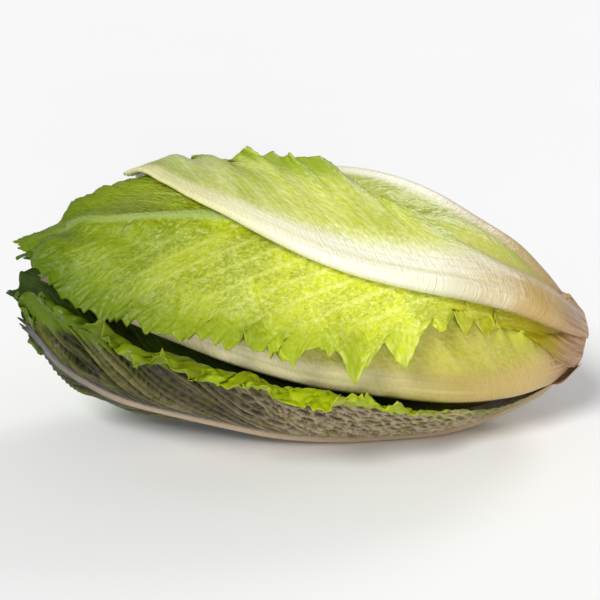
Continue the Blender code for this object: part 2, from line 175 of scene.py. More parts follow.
DEFAULTS = {
    # as in the solids' own source
    "folded": False,
    "rib": (1.2, 4.4, 8.5),
    "petiole": 0.15,
    "widest": 0.52,
    "closing": 0.62,
    "point": 0.05,
    "bays": (),
    "ruffle_up": 0.7,
    "ruffle_down": 0.7,
    "ruffle_from": 0.16,
    "curl_up": 0.0,
    "curl_down": 0.0,
    "curl_from": 0.80,
    "waves": 6.0,
    "phase": 0.0,
    "roundness": 0.5,
    "spread": 1,
    "floor": FLOOR_UNDER_INNER_LEAVES,
    # the fine shape; pairs are for the up and down margins
    "fine": (260, 56),  # rows and half the columns of the grid
    "teeth": (2.0, 2.0),  # height of the teeth
    "lobes": (1.5, 1.5),  # height of the lobes that carry them
    "lobe_base": (0.35, 0.35),  # how much of that lies inside the solid's margin
    "spikes": (),  # side, place, reach, half widths towards base and tip, and power, low for a round end
    "frill": (0.8, 0.8),  # height of the small frills
    "frill_length": 11.0,
    "frill_spots": (),  # taller frills: side, place, reach and height
    "flaps": (),  # creases between lobes: side, place, height, length (below 0 towards the base), depth, lean
    "fingers": 3.0,  # length of the teeth at the tip
    "tip_back": 0.4,  # how far the tip is drawn back between them
    "rib_wide": 1.3,  # how wide the rib's colour is, against its swell
    "edge_band": (0.62, 1.0),  # where across the blade the edge's colour starts and is full
    "edge_full": 2.5,  # height of the frills that show it in full
    "side_veins": (15, 0.55),  # their number and how far they stand out
    "vein_lean": 0.35,  # how far they and the net lean for each millimetre across
    "net": (3.6, 6.5, 0.35),  # the cells' size along and across, and how far their rims stand out
    "net_lean": 0.35,
    "net_ridge": (0.42, 0.55),  # how wide the rims are, and how much they show in colour
    "tiny": 0.35,  # how far the tiniest veins stand out, as a share of the net's
    "tear": 1.0,  # how ragged the cells are
    "curtain": 0.0,  # height of the drawn folds near the tip
}


def leaf(name, base, tip, azimuth, up, down, depth, slot, grid=(24, 5), **more):
    """One leaf's driving dimensions, as in the solids' own source, then those of its fine shape."""
    given = dict(name=name, base=base, tip=tip, azimuth=azimuth, up=up, down=down, depth=depth, slot=slot)
    return {**DEFAULTS, **given, "grid": grid, **more}


def ring(name, first, bases, tips, widths, depths, **more):
    """Leaves set round the stem, each a turn of 137.5 degrees from the one before."""
    return [
        leaf(f"{name}_{n + 1}", base, tip, [(0, (first + 137.5 * n) % 360)], width, width,
             [(0, depth, depth, depth)], name, phase=1.7 * n, spread=2, **more)
        for n, (base, tip, width, depth) in enumerate(zip(bases, tips, widths, depths))
    ]


HEART = ring(
    "heart_leaf", 20.0, (38, 34, 30, 26, 22), (168, 178, 188, 196, 203), (13, 17, 21, 26, 30),
    (0.13, 0.19, 0.25, 0.31, 0.37),
    grid=(12, 4), rib=(1.4, 2.2, 5.0), waves=4.0, ruffle_up=1.5, ruffle_down=1.5,
    fine=(120, 24), teeth=(1.0, 1.0), frill=(0.5, 0.5), side_veins=(9, 0.3), net=(3.0, 5.0, 0.25),
)
INNER = ring(
    "inner_leaf", 76.0, (22, 20, 18, 16, 14), (214, 222, 217, 224, 230), (36, 38, 40, 42, 42),
    (0.43, 0.48, 0.53, 0.57, 0.61),
    grid=(14, 4), rib=(1.8, 3.0, 6.5), waves=5.0, ruffle_up=1.1, ruffle_down=1.1,
    fine=(170, 34), teeth=(1.4, 1.4), frill=(0.6, 0.6), side_veins=(12, 0.4), net=(3.4, 6.0, 0.3),
)
OUTER = [
    leaf(
        "bottom_inner_leaf", 8, 247,
        azimuth=[(0, -100), (30, -80), (80, -62), (180, -44), (247, -8)],
        up=54, down=50,
        depth=[(0, 0.75, 0.75, 0.75), (60, 0.80, 0.80, 0.74), (200, 0.84, 0.80, 0.70), (247, 0.9, 0.8, 0.7)],
        grid=(22, 4), waves=8.0, ruffle_up=1.6, slot="shaded_leaf",
        fine=(260, 50), fingers=5.0, tip_back=0.1,
    ),
    leaf(
        "front_lower_leaf", 0, 231,
        azimuth=[(0, -48), (20, -40), (38, -34), (80, -26), (122, -21), (164, -9), (200, 6), (231, 21)],
        up=54, down=24,
        depth=[(0, 0.9, 0.9, 0.9), (40, 0.94, 0.94, 0.84), (100, 0.90, 0.90, 0.76), (170, 0.84, 0.84, 0.72),
               (231, 0.80, 0.80, 0.72)],
        folded=True, petiole=0.40, widest=0.42, rib=(1.8, 4.8, 10.0),
        grid=(26, 5), waves=8.0, ruffle_up=1.6, ruffle_from=0.05, slot="pale_leaf",
        fine=(300, 66), lobes=(3.0, 0.5), frill=(2.5, 0.3), frill_length=13.0,
        frill_spots=[(1, 0.22, 0.09, 6.5)], net=(3.0, 4.5, 0.4),
        spikes=[(1, 30, 4.0, 14, 12, 0.6), (1, 41, 6.5, 6, 6, 0.8), (1, 54, 8.0, 7, 8, 0.7)],
        rib_wide=1.5,
    ),
    leaf(
        "back_lower_leaf", 0, 240,
        azimuth=[(0, 208), (240, 222)],
        up=54, down=54,
        depth=[(0, 0.9, 0.9, 0.9), (50, 0.84, 0.90, 0.86), (240, 0.86, 0.90, 0.86)],
        phase=2.0, slot="outer_leaf",
    ),
    leaf(
        "back_upper_leaf", 0, 236,
        azimuth=[(0, 155), (240, 166)],
        up=54, down=54,
        depth=[(0, 0.95, 0.95, 0.95), (50, 0.84, 0.94, 1.0), (160, 0.80, 0.92, 1.0), (236, 0.74, 0.92, 1.0)],
        ruffle_up=2.0, phase=4.0, slot="outer_leaf",
        frill=(1.4, 0.8),
    ),
    leaf(
        "upper_back_leaf", 0, 226,
        azimuth=[(0, 118), (25, 110), (60, 104), (120, 104), (226, 112)],
        up=54, down=46,
        depth=[(0, 0.95, 0.95, 0.95), (50, 0.80, 0.90, 0.96), (90, 0.76, 0.93, 1.0), (140, 0.74, 0.86, 1.0),
               (180, 0.72, 0.80, 0.95), (226, 0.66, 0.68, 0.80)],
        petiole=0.22, widest=0.46,
        ruffle_up=2.2, ruffle_down=0.1, phase=1.1, slot="pale_leaf",
        fine=(280, 64), frill=(1.6, 0.8),
    ),
    leaf(
        "front_broad_leaf", 0, 248,
        azimuth=[(0, 33), (20, 34), (43, 38), (62, 46), (120, 54), (168, 59), (206, 62), (226, 68),
                 (248, 66)],
        up=42, down=51,
        depth=[(0, 0.9, 0.9, 0.9), (50, 0.96, 0.86, 0.82), (120, 0.97, 0.82, 0.78), (190, 0.98, 0.82, 0.76),
               (220, 0.98, 0.84, 0.66), (248, 1.0, 1.0, 0.9)],
        petiole=0.13, widest=0.60, closing=0.67, roundness=0.85, point=0.28,
        bays=[(-1, 0.37, 0.075, -0.18), (-1, 0.82, 0.08, 0.10), (1, 0.36, 0.18, 0.5)],
        grid=(30, 6), waves=9.0, ruffle_up=0.2, ruffle_down=1.6, curl_down=50.0, phase=0.6,
        slot="bright_leaf",
        fine=(320, 73), teeth=(2.4, 2.6), lobes=(2.0, 2.0), frill=(0.8, 2.0), fingers=8.0, tip_back=1.0,
        spikes=[(-1, 34, -3.0, 20, 8, 0.6), (-1, 49, 5.0, 5, 4, 0.7), (-1, 57, 6.0, 3, 6, 0.8),
                (-1, 63, -3.0, 2, 2, 1.0), (-1, 68, 5.0, 5, 5, 0.9),
                (-1, 82, 11.5, 8, 9, 1.0), (-1, 103, 9.5, 11, 6, 0.9), (-1, 130, 3.5, 8, 8, 0.6),
                (-1, 147, -5.0, 4, 3, 1.0), (-1, 163, -3.0, 14, 18, 0.6), (-1, 187, -5.0, 14, 12, 0.8),
                (1, 214, -5.0, 20, 18, 0.7)],
        side_veins=(17, 0.30), net=(1.9, 1.7, 0.16), vein_lean=1.1, net_lean=1.2, rib_wide=0.58,
        flaps=[(-1, 0.19, 3.5, -9, 0.5, 1.2), (-1, 0.317, 5.5, -11, 0.45, 1.2),
               (-1, 0.395, 5.0, -13, 0.4, 1.25), (-1, 0.555, 4.0, -15, 0.40, 0.75),
               (-1, 0.69, 2.0, -9, 0.6, 0.5)],
    ),
    leaf(
        "upper_front_leaf", 0, 201,
        azimuth=[(0, 30), (20, 32), (43, 33), (75, 31), (105, 34), (124, 39.5), (150, 53), (171, 71),
                 (188, 97), (201, 118)],
        up=60, down=22,
        depth=[(0, 0.95, 0.95, 0.95), (40, 1.0, 1.0, 1.0), (100, 0.97, 0.96, 0.90), (150, 1.0, 0.97, 0.90),
               (201, 0.88, 0.88, 0.88)],
        folded=True, petiole=0.30, widest=0.44, bays=[(1, 0.40, 0.125, 0.45), (1, 0.66, 0.10, 0.20)],
        rib=(1.6, 5.2, 11.0),
        grid=(26, 6), waves=7.0, ruffle_up=2.2, phase=2.4, slot="pale_leaf",
        fine=(270, 72), lobes=(2.0, 0.5), frill=(0.9, 0.3), frill_length=16.0,
        frill_spots=[(1, 0.68, 0.09, 4.2), (1, 0.83, 0.075, -4.5)], fingers=1.0,
        spikes=[(1, 152, -15.0, 30, 26, 0.7), (1, 136, 6.0, 10, 7, 0.45)],
        side_veins=(13, 0.14), net=(4.0, 2.4, 0.26), rib_wide=1.75, edge_band=(0.70, 0.90),
    ),
    leaf(
        "bottom_leaf", 0, 246,
        azimuth=[(0, -100), (40, -80), (90, -70), (124, -64), (154, -58), (183, -54), (204, -47), (246, -37)],
        up=61, down=58,
        depth=[(0, 0.93, 0.93, 0.93), (40, 1.0, 1.0, 1.0), (90, 1.0, 1.0, 0.98), (130, 1.0, 1.0, 1.0),
               (180, 1.0, 1.0, 1.06), (210, 1.1, 1.12, 1.1), (228, 1.1, 1.2, 1.2), (246, 1.0, 1.1, 1.2)],
        widest=0.5, point=0.24, floor=0.0, curl_from=0.76,
        grid=(30, 6), waves=9.0, ruffle_up=2.4, ruffle_down=1.6, curl_up=125.0, phase=3.3,
        slot="underside_leaf",
        fine=(320, 73), teeth=(2.4, 2.0), lobes=(7.0, 2.0), lobe_base=(0.0, 0.35), frill=(3.0, 1.0),
        fingers=6.0, tip_back=1.5,
        spikes=[(1, 85, 4.0, 6, 6, 1.0), (1, 55, 4.0, 40, 34, 0.7), (-1, 230, -6.0, 14, 12, 0.7)],
        side_veins=(16, 0.5), vein_lean=0.8, net=(5.0, 4.2, 1.5), net_lean=0.1, net_ridge=(0.30, 1.0),
        tiny=0.05, tear=0.2, curtain=2.4, edge_band=(0.70, 0.79), edge_full=1.0,
    ),
]
LEAVES = HEART + INNER + OUTER  # from the heart outwards


def through(points, x):
    """A smooth curve through (x, y) points, level beyond its ends."""
    px, py = np.array(points, float).T
    if len(px) == 1:
        return np.full(np.shape(x), py[0])
    slope = np.gradient(py, px)
    x = np.clip(x, px[0], px[-1])
    i = np.clip(np.searchsorted(px, x, side="right") - 1, 0, len(px) - 2)
    span = px[i + 1] - px[i]
    u = (x - px[i]) / span
    rise = (1 + 2 * u) * (1 - u) ** 2 * py[i] + u * u * (3 - 2 * u) * py[i + 1]
    return rise + span * (u * (1 - u) ** 2 * slope[i] - u * u * (1 - u) * slope[i + 1])


def ease(x, low, high):
    """0 below low and 1 above high, smooth between."""
    u = np.clip((x - low) / (high - low), 0, 1)
    return u * u * (3 - 2 * u)


def bend(u, start, radius, angle):
    """A strip of length u that runs flat to start, turns through angle on that radius, then runs straight."""
    turn = np.radians(angle)
    arc = np.clip((u - start) / radius, 0, turn)
    past = np.maximum(u - start - radius * turn, 0)
    along = np.minimum(u, start) + radius * np.sin(arc) + past * np.cos(turn)
    return along, radius * (1 - np.cos(arc)) + past * np.sin(turn)


def half_width(one, fraction, upward):
    """A leaf's half width at a fraction of its length: petiole, blade, round tip."""
    blade = one["petiole"] + (1 - one["petiole"]) * ease(fraction, BLADE_FROM, one["widest"])
    ahead = np.clip((fraction - one["closing"]) / (1 - one["closing"]), 0, 1)
    share = np.maximum(blade * (1 - ahead**2) ** one["roundness"], one["point"])
    share = share * np.where(upward, one["up"], one["down"])
    for side, place, reach, depth in one["bays"]:
        hollow = depth * np.exp(-(((fraction - place) / reach) ** 2))
        share = share * np.where(upward == (side > 0), 1 - hollow, 1.0)
    return share


def depth_at(one, t, share):
    """The leaf's radius as a share of the head's: share is 0 at the rib, -1 and 1 at its margins."""
    down, rib, up = (through([(row[0], row[k]) for row in one["depth"]], t) for k in (1, 2, 3))
    return rib + np.where(share > 0, up - rib, down - rib) * share**2


def nominal_radius(one, t):
    """The radius that turns a distance across the blade into degrees of azimuth."""
    least = np.maximum(LEAST_RADIUS_AT_TIP * ease(t, *TIP_REGION), LEAST_RADIUS_AT_STEM)
    return np.maximum(through(HEAD_RADIUS, t) * depth_at(one, t, 0.0 * t), least)


def margin_share(s):
    """How far along the leaf the vein that leaves the rib at s reaches the margin."""
    return 1 - (1 - s) ** VEIN_SWEEP


def width_at(one, s, v):
    """The leaf's half width where the side vein that leaves the rib at s reaches the margin."""
    return half_width(one, margin_share(s), v >= 0)


def sheet(one, s, v, teeth=0.0, fold_radius=FOLD_RADIUS):
    """The leaf's middle surface before it is wrapped: t, azimuth and height above its layer.

    s runs from 0 at the base to 1 at the tip, along the rib. v runs from -1 to 1 across. A line of equal s
    follows a side vein, which sweeps towards the tip. teeth is the share by which the width grows there."""
    length = one["tip"] - one["base"]
    t = one["base"] + length * (s + (margin_share(s) - s) * np.abs(v) ** VEIN_BOW)
    upward = v >= 0
    width = half_width(one, margin_share(s), upward) * (1 + teeth)
    reach = np.abs(v) * width
    grown = ease(s, one["ruffle_from"], RUFFLE_FULL_AT)
    turns = 2 * np.pi * one["waves"] * s + one["phase"]
    curl = np.where(upward, one["curl_up"], one["curl_down"]) * grown * ease(1 - s, *CURL_ENDS)
    curl = curl * (1 - CURL_VARIES + CURL_VARIES * np.sin(CURL_WAVES * turns))
    across, height = bend(reach, width * one["curl_from"], CURL_RADIUS, curl)
    across = np.where(upward, across, -across)
    swing = np.sin(turns + WAVE_DRIFT * np.sin(WAVE_DRIFT_RATE * s + one["phase"]))
    ruffle = np.where(upward, one["ruffle_up"], one["ruffle_down"]) * grown
    height = height + ruffle * np.abs(v) ** RUFFLE_POWER * (1 + swing)
    if one["folded"]:
        tucked, below = bend(reach, 0.0, fold_radius, 180.0)
        across = np.where(upward, across, -tucked)
        height = np.where(upward, height, -below)
    azimuth = through(one["azimuth"], t) + np.degrees(across / nominal_radius(one, t))
    return t, azimuth, height


def widened(field, steps):
    """The largest value within that many lattice steps, then blurred over the same distance."""
    for axis in (0, 1):
        shifted = [np.roll(field, k, axis=axis) for k in range(-steps, steps + 1)]
        field = np.max(shifted, axis=0)
    for axis in (0, 1):
        shifted = [np.roll(field, k, axis=axis) for k in range(-steps, steps + 1)]
        field = np.mean(shifted, axis=0)
    return field


def wrapped(one, filled):
    """The leaf's layer on the lattice: its own radius, or just over what is already there."""
    t = LATTICE_T[:, None] + 0 * LATTICE_DEG[None, :]
    aside = np.mod(LATTICE_DEG[None, :] - through(one["azimuth"], t) + 180.0, 360.0) - 180.0
    along = np.clip((t - one["base"]) / (one["tip"] - one["base"]), 0, 1)
    across = np.radians(aside) * nominal_radius(one, t)
    share = across / half_width(one, along, aside > 0)
    wanted = through(HEAD_RADIUS, t) * depth_at(one, t, np.clip(share, -PAST_MARGIN, PAST_MARGIN))
    least = widened(filled, one["spread"]) + SOLID_THICKNESS / 2
    opened = ease(t, CLEARANCE_FROM, CLEARANCE_FULL_AT)
    least = least + CLEARANCE_AT_CUT + (CLEARANCE - CLEARANCE_AT_CUT) * opened
    if one["folded"]:
        tucked = half_width(one, along, False)
        under = 1 - ease(across, tucked, tucked + FOLD_ROOM_REACH)  # 1 over the tucked half
        least = least + 2 * FOLD_RADIUS * ease(t, 0.0, FOLD_OPENS_AT) * under
    soft = SOFTNESS_AT_CUT + (SOFTNESS - SOFTNESS_AT_CUT) * opened
    return (wanted + least + np.sqrt((wanted - least) ** 2 + soft**2)) / 2


def on_lattice(layer, t, azimuth):
    """The layer's radius at any place, between the lattice's points."""
    row = np.clip((t - LATTICE_T[0]) / STEP_T, 0, LAST_ROW)
    column = np.mod(azimuth, 360.0) / STEP_DEG
    i, j = row.astype(int), column.astype(int) % len(LATTICE_DEG)
    a, b = row - i, column - np.floor(column)
    right = (j + 1) % len(LATTICE_DEG)
    near = layer[i, j] * (1 - b) + layer[i, right] * b
    far = layer[i + 1, j] * (1 - b) + layer[i + 1, right] * b
    return near * (1 - a) + far * a


def placed(t, azimuth, radius):
    """Head coordinates to X, Y and Z."""
    turn = np.radians(azimuth)
    y = AXIS_Y - radius * np.cos(turn)
    return np.stack([BASE_X - t, y, through(AXIS_HEIGHT, t) + radius * np.sin(turn)], axis=-1)


def unplaced(points):
    """X, Y and Z back to t, azimuth and radius."""
    t = BASE_X - points[..., 0]
    y, z = points[..., 1] - AXIS_Y, points[..., 2] - through(AXIS_HEIGHT, t)
    return t, np.degrees(np.arctan2(z, -y)), np.hypot(y, z)


def normals_of(points):
    """The outward normals of a grid of points."""
    normal = np.cross(np.gradient(points, axis=1), np.gradient(points, axis=0))
    return normal / np.maximum(np.linalg.norm(normal, axis=-1, keepdims=True), SHORTEST)


def rib_swell(one, s, v):
    """How far the midrib stands out of the blade's outer face, and its bell across, from 0 to 1."""
    at_cut, thickest, rib_width = one["rib"]
    swell = at_cut + (thickest - at_cut) * ease(s, 0.0, RIB_RISES_BY)
    swell = swell * (1 - ease(s, RIB_SINKS_FROM, 1.0))
    first, last = RIB_SPREAD
    spread = np.where((v < 0) & one["folded"], KEEL_WIDTH, rib_width * (first + (last - first) * s))
    bell = np.exp(-((np.abs(v) * width_at(one, s, v) / spread) ** 2))
    return swell * bell, bell


def solid_outer_face(one, layer):
    """The outer face of the leaf's plain solid, as a coarse grid of points."""
    rows, half = one["grid"]
    side = (np.arange(half + 1) / half) ** COLUMN_SPREAD
    s, v = np.meshgrid(np.linspace(0, 1, rows + 1), np.concatenate([-side[:0:-1], side]), indexing="ij")
    tooth = np.where(np.arange(rows + 1) % 2 == 0, TOOTH, -TOOTH)[:, None]
    t, azimuth, height = sheet(one, s, v, tooth * ease(s, *TEETH_FROM) * (np.abs(v) == 1))
    if one["folded"]:
        height = height * ease(t, 0.0, FOLD_OPENS_AT)
    middle = placed(t, azimuth, on_lattice(layer, t, azimuth) + height)
    swell, _ = rib_swell(one, s, v)
    outer = middle + normals_of(middle) * (SOLID_THICKNESS / 2 + swell)[..., None]
    outer[..., 0] = np.minimum(outer[..., 0], BASE_X)
    outer[..., 2] = np.maximum(outer[..., 2], one["floor"])
    return outer


def subdivided(grid, times):
    """A grid of points with that many steps along each of its edges."""
    for axis in (0, 1):
        count = (grid.shape[axis] - 1) * times
        place = np.arange(count + 1) / times
        i = np.minimum(place.astype(int), grid.shape[axis] - 2)
        share = (place - i).reshape((-1, 1, 1) if axis == 0 else (1, -1, 1))
        grid = np.take(grid, i, axis=axis) * (1 - share) + np.take(grid, i + 1, axis=axis) * share
    return grid


def wrap_all():
    """Each leaf's layer, from the heart outwards."""
    t = LATTICE_T[:, None] + 0 * LATTICE_DEG[None, :]
    filled = np.where(t <= STEM[-1][0] + 2, through(STEM, t), EMPTY_RADIUS)
    layers = {}
    for one in LEAVES:
        layers[one["name"]] = wrapped(one, filled)
        at, azimuth, radius = unplaced(subdivided(solid_outer_face(one, layers[one["name"]]), FILL_STEPS))
        row = np.clip(np.round((at - LATTICE_T[0]) / STEP_T).astype(int), 0, len(LATTICE_T) - 1)
        column = np.round(np.mod(azimuth, 360) / STEP_DEG).astype(int) % len(LATTICE_DEG)
        np.maximum.at(filled, (row, column), radius)
    return layers


def hashed(i, j, seed):
    """A number from 0 to 1 for each pair of whole numbers, the same each time."""
    by_i, by_j, by_seed, again = 374761393, 668265263, 974634533, 1274126177
    mixed = (i.astype(np.int64) * by_i + j.astype(np.int64) * by_j + seed * by_seed) & 0xFFFFFFFF
    mixed = ((mixed ^ (mixed >> 13)) * again) & 0xFFFFFFFF
    return ((mixed ^ (mixed >> 16)) & 0xFFFF) / 0xFFFF


def noise(x, y, seed):
    """Smooth noise from -1 to 1, with features about 1 across."""
    x, y = np.broadcast_arrays(np.asarray(x, float), np.asarray(y, float))
    i, j = np.floor(x), np.floor(y)
    a, b = ease(x - i, 0, 1), ease(y - j, 0, 1)
    near = hashed(i, j, seed) * (1 - a) + hashed(i + 1, j, seed) * a
    far = hashed(i, j + 1, seed) * (1 - a) + hashed(i + 1, j + 1, seed) * a
    return 2 * (near * (1 - b) + far * b) - 1


def cells(x, y, seed):
    """Cells about 1 across: how far each place is from its cell's rim, and the cell's own number."""
    i, j = np.floor(x), np.floor(y)
    first = np.full(np.shape(x), FURTHEST)
    second = np.full(np.shape(x), FURTHEST)
    number = np.zeros(np.shape(x))
    for di in (-1, 0, 1):
        for dj in (-1, 0, 1):
            px = i + di + 0.5 + CELL_SCATTER * (hashed(i + di, j + dj, seed) - 0.5)
            py = j + dj + 0.5 + CELL_SCATTER * (hashed(i + di, j + dj, seed + 1) - 0.5)
            away = np.hypot(x - px, y - py)
            closer = away < first
            second = np.where(closer, first, np.minimum(second, away))
            number = np.where(closer, hashed(i + di, j + dj, seed + 2), number)
            first = np.where(closer, away, first)
    return second - first, number


def leaning(x, lean):
    """A wave from -1 to 1 that rises slowly and falls fast, as a frill that falls over does."""
    return np.arctan2(lean * np.sin(x), 1 - lean * np.cos(x)) / math.asin(lean)


def seed_of(one):
    """The first of the leaf's own seeds."""
    return SEED_STEP * LEAVES.index(one) + FIRST_SEED


def wander(one, where, side, how):
    """One of the noises along a margin, other on each side."""
    amount, length, row, seed = how
    return amount * noise(where / length, row * side, seed_of(one) + seed)


def peaks(one, x, side, how):
    """A peak for each whole number of x, each of its own height, with 0 between them."""
    power, least, varies, row, seed = how
    number = np.floor(x)
    shape = (1 - np.abs(2 * (x - number) - 1)) ** power
    return shape * (least + varies * hashed(number, row * side, seed_of(one) + seed))


def patches(one, x, y, how, share=1.0, apart=0.0):
    """One of the noises over the blade."""
    amount, x_size, y_size, seed = how
    return amount * share * noise(x / x_size, y / y_size + apart, seed_of(one) + seed)


def margin_place(one, s, v):
    """The side of the rib that each place is on, 1 or -1, and how far along the leaf its margin is."""
    return np.where(v >= 0, 1.0, -1.0), margin_share(s) * (one["tip"] - one["base"])


def margin_teeth(one, s, v):
    """The margin's lobes and pointed teeth, as a share of the half width, fading out into the blade."""
    side, where = margin_place(one, s, v)
    lobe = peaks(one, where / LOBE_SPACING + wander(one, where, side, LOBE_WANDER), side, LOBE_PEAKS)
    lobe = (lobe - np.where(v >= 0, *one["lobe_base"])) * np.where(v >= 0, *one["lobes"])
    tooth = peaks(one, where / TOOTH_SPACING + wander(one, where, side, TOOTH_WANDER), side, TOOTH_PEAKS)
    tooth = tooth - TOOTH_MIDDLE + wander(one, where, side, TOOTH_JAGS)
    out = (lobe + np.where(v >= 0, *one["teeth"]) * tooth) * ease(s, 0.12, 0.35)
    for spike_side, place, reach, before, after, power in one["spikes"]:
        away = np.where(where < place, (place - where) / before, (where - place) / after)
        away = away + wander(one, where, side, SPIKE_JAGS) * ease(away, 0.0, SPIKE_POINT)
        out = out + np.where(side == spike_side, reach * np.clip(1 - away, 0, 1) ** power, 0.0)
    return out / width_at(one, s, v) * np.abs(v) ** TEETH_POWER


def frill_height(one, s, v):
    """How tall the small frills of the margins are at each place, in all and in the frilled spots alone."""
    height = np.where(v >= 0, *one["frill"]) * ease(s, one["ruffle_from"], RUFFLE_FULL_AT)
    spots = np.zeros(np.shape(v))
    for side, place, reach, more in one["frill_spots"]:
        near = np.exp(-(((margin_share(s) - place) / reach) ** 2))
        spots = spots + np.where(v * side > 0, more * near, 0.0)
    return height + spots, spots


def frills(one, s, v):
    """Small frills near the margins: how far they rise and how far they shift along the margin."""
    side, where = margin_place(one, s, v)
    height, spots = frill_height(one, s, v)
    turns = 2 * np.pi * where / one["frill_length"] + wander(one, where, side, FRILL_WANDER)
    quick = 2 * np.pi * where / SMALL_FRILL_SPACING + wander(one, where, side, SMALL_FRILL_WANDER)
    swell = FRILL_SWELL + wander(one, where, side, FRILL_SWELL_VARIES)
    lean, power = 0.75, 5
    rise = (0.5 + 0.5 * leaning(turns, lean)) * swell * np.abs(v) ** power
    share, lean, power = 0.15, 0.6, 12
    rise = rise + share * leaning(quick, lean) * np.abs(v) ** power
    share, power = 0.55, 4
    rise = height * rise + share * spots * np.abs(v) ** power
    share, power = 0.5, 6
    return rise, share * height * np.cos(turns) * np.abs(v) ** power


def flap_rise(one, s, v):
    """The creases where one part of a margin lies over the next."""
    length = one["tip"] - one["base"]
    rise = np.zeros(np.shape(s))
    for side, place, tall, long, inward, lean in one["flaps"]:
        past = (s - place) * length + lean * (np.abs(v) - 1) * one["down"]
        past = past * np.sign(long)
        step = 1 / (1 + np.exp(-np.clip(past / FLAP_SOFTNESS, -EXPONENT_LIMIT, EXPONENT_LIMIT)))
        raised = tall * step * np.exp(-np.maximum(past, 0) / abs(long)) * ease(np.abs(v), inward, 1.0)
        rise = rise + np.where(v * side > 0, raised, 0.0)
    return rise


def side_veins(one, s, v, reach, side):
    """The side veins' strength, and how far along the leaf the vein through each place leaves the rib."""
    length = one["tip"] - one["base"]
    start = s * length - one["vein_lean"] * reach
    start = start + patches(one, reach, s * length, VEIN_WANDER, apart=SIDES_APART * side)
    count = one["side_veins"][0]
    step = start * count / length + VEIN_STAGGER * side
    aside = np.abs(step - np.floor(step) - 0.5) * length / count
    at_rib, lost = 1.5, 0.8
    width = at_rib - lost * np.abs(v)
    return np.exp(-((aside / width) ** 2)) * (1 - VEIN_SINKS * np.abs(v)), start


def relief_of(one, s, v):
    """The veins and the blisters between them: how far they stand out, and how strongly the veins show, with
    painted light on a curtain's fold crests.
    """
    along = s * (one["tip"] - one["base"])
    reach = np.abs(v) * width_at(one, s, v)
    side = np.where(v >= 0, 1.0, -1.0)
    main, start = side_veins(one, s, v, reach, side)
    cell_along, cell_across, net = one["net"]
    leant = start + (one["vein_lean"] - one["net_lean"]) * reach
    x = (leant + patches(one, along, reach, NET_TEAR_ALONG, one["tear"])) / cell_along
    y = (reach + patches(one, along, reach, NET_TEAR_ACROSS, one["tear"])) / cell_across + CELLS_APART * side
    rim, number = cells(x, y, seed_of(one) + NET_SEEDS[0])
    ridge, shown = one["net_ridge"]
    small = 1 - ease(rim, 0.0, ridge)
    rim, _ = cells(TINY_CELLS * x, TINY_CELLS * y, seed_of(one) + NET_SEEDS[1])
    tiny = 1 - ease(rim, 0.0, TINY_RIDGE)
    first, full = 0.55, 1.6
    off_rib = ease(reach, first * one["rib"][2], full * one["rib"][2]) * ease(s, 0.02, 0.2)
    blisters = small + one["tiny"] * tiny + BLISTERS * (number - 0.5)
    grown = NET_AT_BASE + (1 - NET_AT_BASE) * ease(s, 0.1, 0.5)
    rise = one["side_veins"][1] * main + net * blisters * grown
    if one["curtain"]:
        turns = 2 * np.pi * start / FOLD_SPACING + patches(one, along, reach, FOLD_WANDER)
        folds = leaning(turns, FOLD_LEAN) * (FOLD_DEPTH + patches(one, start, reach, FOLD_DEPTH_VARIES))
        drawn = ease(margin_share(s), 0.58, 0.76)
        raised = one["curtain"] * folds * drawn * ease(np.abs(v), 0.1, 0.45)
        rise = rise * (1 - FOLDS_FLATTEN * drawn) + raised
        # Over the drawn folds the veins' paler colour goes onto the folds' crests alone: painted light on the
        # crests and painted shade in the valleys between them.
        share, power = 0.6, 1.5
        small = small * (1 - drawn) + share * np.clip(folds, 0, 1) ** power * drawn
    vein = np.clip(main + shown * small + TINY_SHOWN * tiny, 0, 1)
    return rise * off_rib, vein * off_rib


def tip_fingers(one, s, v):
    """How far the blunt tip's round end and finger-like teeth reach, along the head."""
    place = v * half_width(one, 1.0, True) / FINGER_WIDTH
    place = place + wander(one, FINGER_WANDERS * v, 1.0, FINGER_WANDER)
    finger = peaks(one, place, v, FINGER_PEAKS)
    drawn_in = (TIP_ROUND * v**2 + one["tip_back"]) * ease(s, 0.9, 1.0)
    return one["fingers"] * (finger * ease(s, 0.955, 1.0) - drawn_in)


def leant_back(points):
    """Narrows the leaf bases towards the leaning cut, and makes the creases between them."""
    t, azimuth, radius = unplaced(points)
    turn = np.radians(azimuth)
    ring, drift = 4.2, 60.0
    ridge = noise(ring * np.cos(turn) + t / drift, ring * np.sin(turn), BUTT_SEED)
    crease, narrow = 1.0, 0.10
    uneven = BUTT_RIDGE * ridge - crease * np.exp(-((ridge / narrow) ** 2))
    radius = radius + uneven * (1 - ease(t, 4.0, 30.0)) * ease(radius, 3.0, 9.0)
    narrowed = placed(t, azimuth, radius * (1 - BUTT_TAPER * np.clip(1 - t / BUTT_LENGTH, 0, 1) ** 2))
    lean = CUT_TILT * np.maximum(CUT_TOP - narrowed[..., 2], 0)
    narrowed[..., 0] -= lean * np.clip(1 - t / CUT_REACH, 0, 1)
    return narrowed


